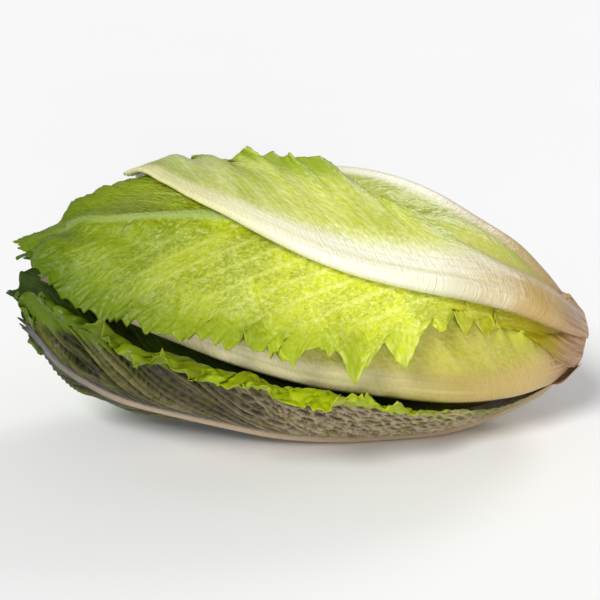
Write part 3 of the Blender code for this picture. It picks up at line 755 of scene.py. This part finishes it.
def fine_leaf(one, layer):
    """A leaf's fine outer and inner faces as grids of points, and what its material needs to know of each."""
    rows, half = one["fine"]
    side = (np.arange(half + 1) / half) ** COLUMN_SPREAD
    s, v = np.meshgrid(np.linspace(0, 1, rows + 1), np.concatenate([-side[:0:-1], side]), indexing="ij")
    t, azimuth, height = sheet(one, s, v, margin_teeth(one, s, v), FINE_FOLD_RADIUS)
    if one["folded"]:
        tucked = half_width(one, margin_share(s), False)
        over = 1 - ease(v * half_width(one, margin_share(s), True), tucked, tucked + FOLD_ROOM_REACH)
        height = height - FOLD_SETTLES * over
    rise, shift = frills(one, s, v)
    t = t + shift + tip_fingers(one, s, v)
    height = height + rise + flap_rise(one, s, v)
    if one["folded"]:
        height = height * ease(t, 0.0, FOLD_OPENS_AT)
    middle = placed(t, azimuth, on_lattice(layer, t, azimuth) + height)
    relief, vein = relief_of(one, s, v)
    middle = middle + normals_of(middle) * relief[..., None]
    normal = normals_of(middle)
    swell, bell = rib_swell(one, s, v)
    length, first = 1.5, 0.4
    rounded = np.sqrt(np.clip(1 - (1 - np.clip((t - one["base"]) / length, 0, 1)) ** 2, 0, 1))[..., None]
    lost, start = 0.5, 0.9
    thin = (1 - lost * ease(np.abs(v), start, 1.0))[..., None] * FINE_THICKNESS / 2
    reach = v * width_at(one, s, v)
    off_fold, wide = 3.8, 0.8
    groove = np.exp(-(((reach - off_fold) / wide) ** 2)) * ease(s, 0.15, 0.3)
    groove = groove * (1 - ease(s, 0.6, 0.8)) * one["folded"]
    swell = swell * (1 - GROOVE_DEPTH * groove)
    outer = middle + normal * (thin + swell[..., None]) * (first + (1 - first) * rounded)
    inner = middle - normal * thin
    for face, lowest in ((outer, one["floor"]), (inner, one["floor"] + FINE_THICKNESS)):
        face[..., 0] = np.minimum(face[..., 0], BASE_X)
        face[..., 2] = np.maximum(face[..., 2], lowest)
    edge_share = np.clip(np.abs(frill_height(one, s, v)[0]) / one["edge_full"], 0, 1)
    facts = {
        "rib": bell ** (1 / one["rib_wide"] ** 2),
        # on a curtain this also carries the painted light on the folds' crests
        "vein": vein,
        "groove": groove,
        "edge": ease(np.abs(v), *one["edge_band"]) * (EDGE_LEAST + (1 - EDGE_LEAST) * edge_share),
        "along": t / HEAD_LENGTH,
        "place": np.stack([s * (one["tip"] - one["base"]), reach, 0 * s], axis=-1),
    }
    return leant_back(outer), leant_back(inner), facts


def grid_faces(rows, columns):
    """The quads of a closed sheet whose outer grid's points come first and its inner grid's after them."""
    number = np.arange(rows * columns).reshape(rows, columns)
    a, b, c, d = number[:-1, :-1], number[1:, :-1], number[1:, 1:], number[:-1, 1:]
    under = rows * columns
    outer = np.stack([a, d, c, b], axis=-1).reshape(-1, 4)
    inner = np.stack([a, b, c, d], axis=-1).reshape(-1, 4) + under
    loop = np.concatenate([number[:, 0], number[-1, 1:], number[-2::-1, -1], number[0, -2:0:-1]])
    following = np.roll(loop, -1)
    edge = np.stack([loop, following, following + under, loop + under], axis=-1)
    return outer, inner, edge


def mesh_of(name, points, faces, attributes, material, bake_map):
    """An object from points in millimetres and quads, with its attributes and its map for baked colours."""
    mesh = bpy.data.meshes.new(name)
    mesh.vertices.add(len(points))
    mesh.vertices.foreach_set("co", (points * MM).astype(np.float32).ravel())
    mesh.loops.add(faces.size)
    mesh.loops.foreach_set("vertex_index", faces.astype(np.int32).ravel())
    mesh.polygons.add(len(faces))
    mesh.polygons.foreach_set("loop_start", np.arange(0, faces.size, 4, dtype=np.int32))
    mesh.update(calc_edges=True)
    for key, values in attributes.items():
        if values.ndim == 1:
            mesh.attributes.new(key, "FLOAT", "POINT").data.foreach_set("value", values.astype(np.float32))
        else:
            made = mesh.attributes.new(key, "FLOAT_VECTOR", "POINT")
            made.data.foreach_set("vector", values.astype(np.float32).ravel())
    layer = mesh.uv_layers.new(name="OFBake")
    layer.uv.foreach_set("vector", bake_map.astype(np.float32).ravel())
    mesh.materials.append(material)
    mesh.shade_smooth()
    made = bpy.data.objects.new(name, mesh)
    bpy.context.scene.collection.objects.link(made)
    return made


def add_leaf(one, layer, material):
    """The fine leaf that stands for the solid of the same name."""
    outer, inner, facts = fine_leaf(one, layer)
    rows, columns = outer.shape[:2]
    points = np.concatenate([outer.reshape(-1, 3), inner.reshape(-1, 3)])
    attributes = {}
    for key, values in facts.items():
        flat = values.reshape(rows * columns, -1).squeeze()
        attributes[key] = np.concatenate([flat, flat])
    attributes["inside"] = np.repeat([0.0, 1.0], rows * columns)
    outer_faces, inner_faces, edge_faces = grid_faces(rows, columns)
    faces = np.concatenate([outer_faces, inner_faces, edge_faces])
    i, j = np.meshgrid(np.arange(rows) / (rows - 1), np.arange(columns) / (columns - 1), indexing="ij")
    size, margin, half_map = (0.49, 0.98), (0.005, 0.01), (0.5, 0.0)  # each face has half of the map
    spot = np.stack([j.ravel(), i.ravel()], axis=-1) * size + margin
    corners = np.concatenate([spot, spot + half_map])[faces]
    edge_corners = corners[-len(edge_faces):]
    edge_corners[:, 2:] = edge_corners[:, 1::-1]  # the edge's colours are those of the outer face's margin
    made = mesh_of(one["name"] + "_fine", points, faces, attributes, material, corners.reshape(-1, 2))
    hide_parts(one["name"])
    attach(made, "root")


def add_stem(material):
    """The stem inside the leaf bases, with its cut face a little hollow and uneven."""
    end, rim = STEM[-1][0], STEM[0][1]
    profile_t = np.concatenate([np.full(STEM_RINGS, 0.0), np.linspace(0, end, STEM_ROWS)[1:]])
    side_r = through(STEM, profile_t[STEM_RINGS:])
    profile_r = np.concatenate([np.linspace(0.4, rim, STEM_RINGS), side_r])
    turn = np.linspace(0, 360, STEM_TURNS, endpoint=False)
    t, azimuth = np.meshgrid(profile_t, turn, indexing="ij")
    deep, flutes, flutes_end = 0.03, 5, 30
    radius = profile_r[:, None] * (1 + deep * np.sin(np.radians(flutes * azimuth)) * (t < flutes_end))
    on_face = (np.arange(len(profile_t)) < STEM_RINGS)[:, None]
    x, y = radius * np.cos(np.radians(azimuth)), radius * np.sin(np.radians(azimuth))
    deepest, rises = 1.1, 0.7
    dish = deepest - rises * (radius / rim) ** 2
    for height, size, seed in ((0.25, 2.2, 901), (0.1, 1.0, 902)):
        dish = dish + height * noise(x / size, y / size, seed)
    t = np.where(on_face, np.maximum(dish, 0.05), np.maximum(t, 0.4))
    points = leant_back(placed(t, azimuth, radius)).reshape(-1, 3)
    number = np.arange(points.shape[0]).reshape(len(profile_t), STEM_TURNS)
    right = np.roll(number, -1, axis=1)
    faces = np.stack([right[:-1], right[1:], number[1:], number[:-1]], axis=-1).reshape(-1, 4)
    row = np.arange(len(profile_t))[:, None] + 0 * azimuth
    attributes = {
        "ring": (radius / rim).ravel(),
        "cut": (on_face + 0 * radius).ravel(),
    }
    around = np.stack([(azimuth / 360).ravel(), (row / 60).ravel()], axis=-1)
    made = mesh_of("stem_fine", points, faces, attributes, material, around[faces].reshape(-1, 2))
    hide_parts("stem")
    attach(made, "root")


# The Mix node's sockets for colours, which share their names with those for numbers
MIX_FIRST = 6
MIX_SECOND = 7
MIX_RESULT = 2


class Graph:
    """A material's nodes, joined by short calls."""

    def __init__(self, name):
        self.material = bpy.data.materials.new(name)
        self.material.use_nodes = True
        self.nodes = self.material.node_tree.nodes
        self.links = self.material.node_tree.links

    def fill(self, node, inputs):
        """Joins each socket to another node's output, or sets it to a number, a vector or a colour."""
        for key, value in inputs.items():
            socket = node.inputs[key]
            if isinstance(value, bpy.types.NodeSocket):
                self.links.new(value, socket)
            else:
                socket.default_value = (*value, 1.0) if socket.type == "RGBA" else value
        return node

    def finish(self, inputs):
        """Fills the shader's own sockets and gives the material."""
        self.fill(self.nodes["Principled BSDF"], inputs)
        return self.material

    def attribute(self, name, vector=False):
        node = self.nodes.new("ShaderNodeAttribute")
        node.attribute_name = name
        return node.outputs["Vector" if vector else "Fac"]

    def object_place(self):
        return self.nodes.new("ShaderNodeTexCoord").outputs["Object"]

    def math(self, operation, *values):
        node = self.nodes.new("ShaderNodeMath")
        node.operation = operation
        return self.fill(node, dict(enumerate(values))).outputs[0]

    def times(self, first, second):
        return self.math("MULTIPLY", first, second)

    def plus(self, first, second):
        return self.math("ADD", first, second)

    def less(self, first, second):
        return self.math("SUBTRACT", first, second)

    def smooth(self, value, low, high):
        """0 where the value is below low and 1 where it is above high, smooth between."""
        node = self.nodes.new("ShaderNodeMapRange")
        node.interpolation_type = "SMOOTHSTEP"
        return self.fill(node, {"Value": value, "From Min": low, "From Max": high}).outputs["Result"]

    def fade(self, value, low, high):
        """1 where the value is below low and 0 where it is above high, smooth between."""
        return self.less(1.0, self.smooth(value, low, high))

    def mix(self, share, first, second, blend="MIX"):
        node = self.nodes.new("ShaderNodeMix")
        node.data_type = "RGBA"
        node.blend_type = blend
        return self.fill(node, {"Factor": share, MIX_FIRST: first, MIX_SECOND: second}).outputs[MIX_RESULT]

    def stretched(self, place, scale):
        node = self.nodes.new("ShaderNodeMapping")
        return self.fill(node, {"Vector": place, "Scale": scale}).outputs["Vector"]

    def noise(self, place, scale, detail=2.0, distortion=0.0):
        node = self.nodes.new("ShaderNodeTexNoise")
        inputs = {"Vector": place, "Scale": scale, "Detail": detail, "Distortion": distortion}
        return self.fill(node, inputs).outputs["Fac"]

    def streaks(self, place, along, across, detail, distortion=0.0):
        """Noise with that many features for each millimetre along the leaf and across it."""
        return self.noise(self.stretched(place, (along, across, 1.0)), 1.0, detail, distortion)

    def pits(self, place, scale):
        node = self.nodes.new("ShaderNodeTexVoronoi")
        node.feature = "SMOOTH_F1"
        return self.fill(node, {"Vector": place, "Scale": scale}).outputs["Distance"]

    def bump(self, height, strength, distance, below=None):
        node = self.nodes.new("ShaderNodeBump")
        if below is not None:
            self.links.new(below, node.inputs["Normal"])
        inputs = {"Height": height, "Strength": strength, "Distance": distance}
        return self.fill(node, inputs).outputs["Normal"]


GROOVE_COLOUR = (0.62, 0.60, 0.24)
BUTT_DARK = (0.27, 0.15, 0.07)
BUTT_LIGHT = (0.48, 0.30, 0.155)

# Where along the head one finish turns into the next, from 0 at the cut to 1 at the tips
FAR_TURN = (0.35, 0.95)
RIB_BROWN_TURN = (0.08, 0.30)
RIB_END_TURN = (0.72, 0.98)
TAN_TURN = (0.05, 0.32)
BASE_FROM = 0.03
BUTT_TURN = (0.03, 0.10)


def leaf_material(name, dark, light, vein, rib, base, edge, inside, far=(0.7, 0.8, 0.5), edge_far=True,
                  rib_far=None, rib_turn=(0.22, 0.55), base_to=0.15, fleck=None, fleck_size=(4.5, 2.0),
                  mottle=0.5, veined=0.75, wrinkles=0.35, pucker=(0.9, 0.35), shine=0.30, specular=0.4,
                  coat=0.08):
    """Leaf tissue: a mottled blade with paler veins, a wrinkled glossy rib and a browned base.

    far is what the blade's colour is multiplied by towards the tip, its edge's too with edge_far, rib_far the
    rib's colour past rib_turn, base_to where the base's colour ends, fleck the colour of small patches in the
    blade, fleck_size their length and width, pucker the spacing and strength of its finest puckers, and
    shine the roughness."""
    g = Graph(name)
    place = g.attribute("place", vector=True)
    along = g.attribute("along")
    on_rib = g.attribute("rib")
    fine = g.noise(place, 0.6, 3.0)
    mixed = g.plus(g.times(g.noise(place, 0.055, 3.0, 0.4), 0.6), g.times(fine, 0.4))
    blade = g.mix(g.smooth(mixed, 0.5 - 0.26 * mottle, 0.5 + 0.26 * mottle), dark, light)
    # The paler vein colour goes where the vein attribute is. On a curtain, that also paints light on the fold
    # crests.
    blade = g.mix(g.times(g.attribute("vein"), veined), blade, vein)
    if fleck:
        spots = g.streaks(place, 1 / fleck_size[0], 1 / fleck_size[1], 3.0, 0.8)
        blade = g.mix(g.times(g.smooth(spots, 0.52, 0.66), 0.65), blade, fleck)
    towards_tip = g.smooth(along, *FAR_TURN)
    if not edge_far:
        blade = g.mix(towards_tip, blade, g.mix(1.0, blade, far, "MULTIPLY"))
    blade = g.mix(g.times(g.attribute("edge"), 0.85), blade, edge)
    blade = g.mix(g.times(g.attribute("inside"), 0.7), blade, inside)
    if edge_far:
        blade = g.mix(towards_tip, blade, g.mix(1.0, blade, far, "MULTIPLY"))
    if rib_far:
        rib = g.mix(g.smooth(along, *rib_turn), rib, rib_far)
    streaked = g.smooth(g.streaks(place, 0.02, 1.1, 3.0), 0.35, 0.7)
    rib_colour = g.mix(streaked, rib, g.mix(1.0, rib, (0.86, 0.86, 0.80), "MULTIPLY"))
    rib_colour = g.mix(g.times(g.attribute("groove"), 0.45), rib_colour, GROOVE_COLOUR)
    rib_colour = g.mix(g.times(g.fade(along, *RIB_BROWN_TURN), 0.75), rib_colour, base)
    uneven = g.times(g.less(fine, 0.5), 0.35)
    rib_share = g.times(g.smooth(g.plus(on_rib, uneven), 0.12, 0.75), g.fade(along, *RIB_END_TURN))
    colour = g.mix(rib_share, blade, rib_colour)
    near_rib = g.plus(0.25, g.times(on_rib, 0.75))
    tan = g.times(g.times(g.fade(along, *TAN_TURN), near_rib), g.smooth(mixed, 0.38, 0.56))
    colour = g.mix(g.math("MAXIMUM", tan, g.fade(along, BASE_FROM, base_to)), colour, base)
    lines = g.streaks(place, 0.05, 0.9, 3.0, 0.3)
    butt = g.mix(g.smooth(lines, 0.36, 0.62), BUTT_DARK, BUTT_LIGHT)
    colour = g.mix(g.fade(along, *BUTT_TURN), colour, butt)
    spacing, strength = pucker
    normal = g.bump(g.pits(g.stretched(place, (1.0, 0.6, 1.0)), spacing), strength, 0.0006)
    crossing = g.times(g.streaks(place, 1.3, 0.18, 2.0, 0.5), rib_share)
    normal = g.bump(crossing, wrinkles, 0.0012, normal)
    normal = g.bump(g.noise(place, 2.6, 2.0), 0.18, 0.0003, normal)
    return g.finish({
        "Base Color": colour,
        "Roughness": g.plus(g.times(g.noise(place, 0.35, 4.0), 0.30), shine - 0.10),
        "Specular IOR Level": specular,
        "Coat Weight": coat,
        "Coat Roughness": 0.18,
        "Normal": normal,
    })


FLESH_DARK = (0.36, 0.19, 0.10)
FLESH_LIGHT = (0.62, 0.42, 0.25)
VESSEL_COLOUR = (0.70, 0.55, 0.36)
STEM_SIDE_COLOUR = (0.72, 0.62, 0.40)


def stem_material():
    """Cut stem flesh: pinkish brown where the cut has dried, with a paler ring of vessels."""
    g = Graph("stem_flesh")
    place = g.object_place()
    mottled = g.noise(place, 420.0, 4.0)
    colour = g.mix(g.smooth(mottled, 0.35, 0.65), FLESH_DARK, FLESH_LIGHT)
    at, width, shown = 0.72, 0.12, 0.6
    ring = g.fade(g.math("ABSOLUTE", g.less(g.attribute("ring"), at)), 0.0, width)
    colour = g.mix(g.times(ring, shown), colour, VESSEL_COLOUR)
    colour = g.mix(g.less(1.0, g.attribute("cut")), colour, STEM_SIDE_COLOUR)
    return g.finish({
        "Base Color": colour,
        "Roughness": g.plus(g.times(mottled, 0.4), 0.25),
        "Normal": g.bump(g.pits(place, 700.0), 0.5, 0.0005),
    })


def all_materials():
    """The finish of each leaf, by its name's start."""
    pale = dict(
        dark=(0.38, 0.45, 0.03), light=(0.60, 0.63, 0.12), vein=(0.72, 0.73, 0.27), rib=(0.88, 0.86, 0.68),
        base=(0.46, 0.30, 0.08), edge=(0.24, 0.34, 0.0), inside=(0.40, 0.48, 0.04), fleck=(0.50, 0.54, 0.015),
        veined=0.45,
    )
    outer = dict(
        dark=(0.12, 0.21, 0.008), light=(0.24, 0.35, 0.02), vein=(0.38, 0.46, 0.10), rib=(0.70, 0.69, 0.42),
        base=(0.50, 0.35, 0.18), edge=(0.11, 0.20, 0.005), inside=(0.28, 0.38, 0.02),
    )
    return {
        "heart_leaf": leaf_material(
            "heart_tissue", (0.50, 0.50, 0.08), (0.64, 0.63, 0.16), (0.70, 0.68, 0.30), (0.78, 0.75, 0.46),
            (0.60, 0.46, 0.24), (0.44, 0.48, 0.04), (0.56, 0.56, 0.12), far=(0.9, 0.95, 0.8)),
        "inner_leaf": leaf_material(
            "inner_tissue", (0.30, 0.38, 0.03), (0.44, 0.52, 0.06), (0.56, 0.60, 0.18), (0.72, 0.70, 0.42),
            (0.54, 0.40, 0.20), (0.26, 0.36, 0.01), (0.40, 0.46, 0.04)),
        # Near-black blade, inside, edge and rib: painted shade, this leaf standing for the deep shadowed gap
        # between the front leaves' tips and the bottom leaf. Its brown base is its own colour.
        "bottom_inner_leaf": leaf_material(
            "painted_shade_tissue",
            (0.012, 0.026, 0.001), (0.035, 0.06, 0.003), (0.07, 0.10, 0.01), (0.25, 0.25, 0.10),
            (0.45, 0.32, 0.14), (0.04, 0.07, 0.003), (0.03, 0.055, 0.003), shine=0.6, specular=0.15,
            coat=0.0),
        # far darkens the blade to near black towards the tip: painted shade where it lies under the front
        # broad leaf's margin.
        "front_lower_leaf": leaf_material(
            "lower_pale_tissue",
            (0.36, 0.35, 0.01), (0.54, 0.50, 0.07), (0.54, 0.48, 0.12), (0.40, 0.31, 0.065),
            (0.54, 0.39, 0.14), (0.46, 0.50, 0.005), (0.42, 0.44, 0.02), far=(0.06, 0.08, 0.02),
            fleck=(0.44, 0.44, 0.01), veined=0.55, rib_far=(1.0, 0.90, 0.54)),
        "back_lower_leaf": leaf_material("back_lower_tissue", **outer),
        "back_upper_leaf": leaf_material("back_upper_tissue", **outer),
        "upper_back_leaf": leaf_material(
            "upper_back_tissue", far=(0.45, 0.58, 0.3),
            **dict(pale, light=(0.47, 0.50, 0.08), vein=(0.55, 0.57, 0.20), fleck=(0.40, 0.45, 0.01))),
        # Its dark brownish base, reaching far along (base_to), is partly the petiole's own browning and
        # partly painted shadow cast by the upper front leaf's keel. Its small pale flecks are painted
        # highlights, the glints of its blisters.
        "front_broad_leaf": leaf_material(
            "bright_tissue", (0.33, 0.40, 0.0), (0.58, 0.63, 0.0), (0.78, 0.81, 0.20), (0.35, 0.45, 0.11),
            (0.28, 0.21, 0.0), (0.30, 0.40, 0.0), (0.26, 0.36, 0.01), far=(0.22, 0.31, 0.0), shine=0.34,
            mottle=0.35, pucker=(0.75, 0.9), specular=0.2, coat=0.0, base_to=0.34, fleck=(0.78, 0.80, 0.26),
            fleck_size=(2.2, 1.1)),
        "upper_front_leaf": leaf_material(
            "upper_front_tissue", far=(0.70, 0.72, 1.9), wrinkles=0.6, coat=0.12, edge_far=False,
            rib_far=(0.74, 0.70, 0.34), rib_turn=(0.42, 0.75), **pale),
        # The near-black blade colours fill the hollows between the net's paler ridges: painted shade in the
        # pits. Towards the tip (far) the leaf's own olive is deepened into painted shade of the gap there.
        "bottom_leaf": leaf_material(
            "underside_tissue",
            (0.012, 0.008, 0.003), (0.04, 0.028, 0.010), (0.46, 0.36, 0.23), (0.52, 0.40, 0.27),
            (0.45, 0.33, 0.17), (0.42, 0.52, 0.0), (0.42, 0.53, 0.0), far=(0.19, 0.26, 0.02), shine=0.34,
            veined=1.0, specular=0.2, coat=0.06, fleck=(0.13, 0.15, 0.008), fleck_size=(9.0, 4.0)),
        "stem": stem_material(),
    }


FLOOR_REACH = 15.0  # in metres, as all of the studio is
FLOOR_COLOURS = ((0.93, 0.93, 0.93), (0.96, 0.96, 0.96))
LIGHTS = {  # the side that each shines from, and its power
    "key": ((-0.38, -0.62, 0.68), 2.2),
    "fill": ((0.10, -0.99, 0.08), 1.3),
    "back_light": ((0.5, 0.7, 0.6), 0.7),
}
CAMERA_ELEVATION = 20.0
CAMERA_DISTANCE = 0.605
CAMERA_TARGET = (0, 0, 0.060)


def linked(name, data):
    """A new object of the scene."""
    made = bpy.data.objects.new(name, data)
    made.rotation_mode = "QUATERNION"
    bpy.context.scene.collection.objects.link(made)
    return made


def add_floor():
    """A pale floor of matt paper."""
    far = FLOOR_REACH
    mesh = bpy.data.meshes.new("floor")
    mesh.from_pydata([(-far, -far, 0), (far, -far, 0), (far, far, 0), (-far, far, 0)], [], [(0, 1, 2, 3)])
    g = Graph("floor_paper")
    colour = g.mix(g.noise(g.object_place(), 3.0), *FLOOR_COLOURS)
    mesh.materials.append(g.finish({"Base Color": colour, "Roughness": 0.9, "Specular IOR Level": 0.1}))
    floor = linked("floor", mesh)
    floor.location = (0, 0, -0.0002)  # just under the head, so that their faces don't fight


def add_studio():
    """A pale floor, a white surround, soft distant lights and the camera at the photograph's angle."""
    add_floor()
    scene = bpy.context.scene
    scene.world = bpy.data.worlds.new("surround")
    scene.world.use_nodes = True
    background = scene.world.node_tree.nodes["Background"]
    background.inputs["Color"].default_value = (1.0, 1.0, 1.0, 1.0)
    background.inputs["Strength"].default_value = 0.36
    for name, (towards, power) in LIGHTS.items():
        light = bpy.data.lights.new(name, "SUN")
        light.energy = power
        light.angle = math.radians(22.0)
        linked(name, light).rotation_quaternion = Vector(towards).to_track_quat("Z", "Y")
    lens = bpy.data.cameras.new("camera")
    lens.lens = 85.0
    lens.sensor_width = 36.0
    elevation = math.radians(CAMERA_ELEVATION)
    back = Vector((0, -math.cos(elevation), math.sin(elevation)))
    camera = linked("camera", lens)
    camera.location = Vector(CAMERA_TARGET) + back * CAMERA_DISTANCE
    camera.rotation_quaternion = (-back).to_track_quat("-Z", "Y")
    scene.camera = camera
    scene.view_settings.view_transform = "Standard"


def main():
    """Makes the materials, wraps the leaves, and adds the pieces and the studio."""
    materials = all_materials()
    layers = wrap_all()
    add_stem(materials["stem"])
    for one in LEAVES:
        material = materials.get(one["name"]) or materials[one["slot"]]
        add_leaf(one, layers[one["name"]], material)
    add_studio()


main()
